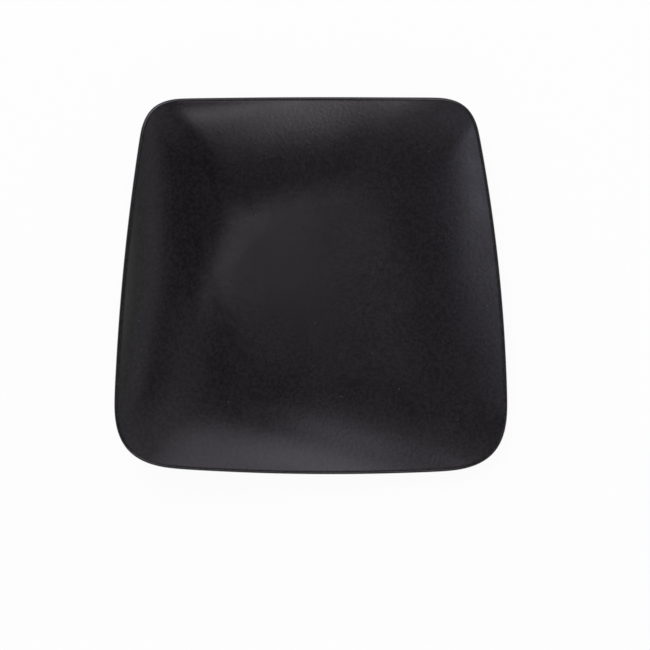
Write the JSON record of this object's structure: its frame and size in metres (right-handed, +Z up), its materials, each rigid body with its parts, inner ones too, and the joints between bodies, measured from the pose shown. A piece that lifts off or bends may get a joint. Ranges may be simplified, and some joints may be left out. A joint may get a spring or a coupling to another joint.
{
  "type": "dinner plate",
  "caption": "Black glazed stoneware dinner plate: a rounded trapezoid with bowed edges, a round shallow well and a side that sweeps up high, standing on a low bare foot ring.",
  "frame": {"origin": "on the table plane under the middle of the plate's outline", "axes": "+X from the high left side to the low right side, +Y from the wide front edge to the narrow back edge, +Z up"},
  "size_m": [0.27, 0.2606, 0.0402],
  "materials": {
    "bare_clay": "fired stoneware, bare and ground flat on the foot ring",
    "face_glaze": "semi-matt black glaze with a fine pitted grain",
    "underside_glaze": "semi-matt black glaze, smoother than the face"
  },
  "bodies": {
    "root": {"stoneware_body": "bare_clay", "face_glaze": "face_glaze", "underside_glaze": "underside_glaze", "recess_glaze": "underside_glaze"}
  },
  "joints": []
}
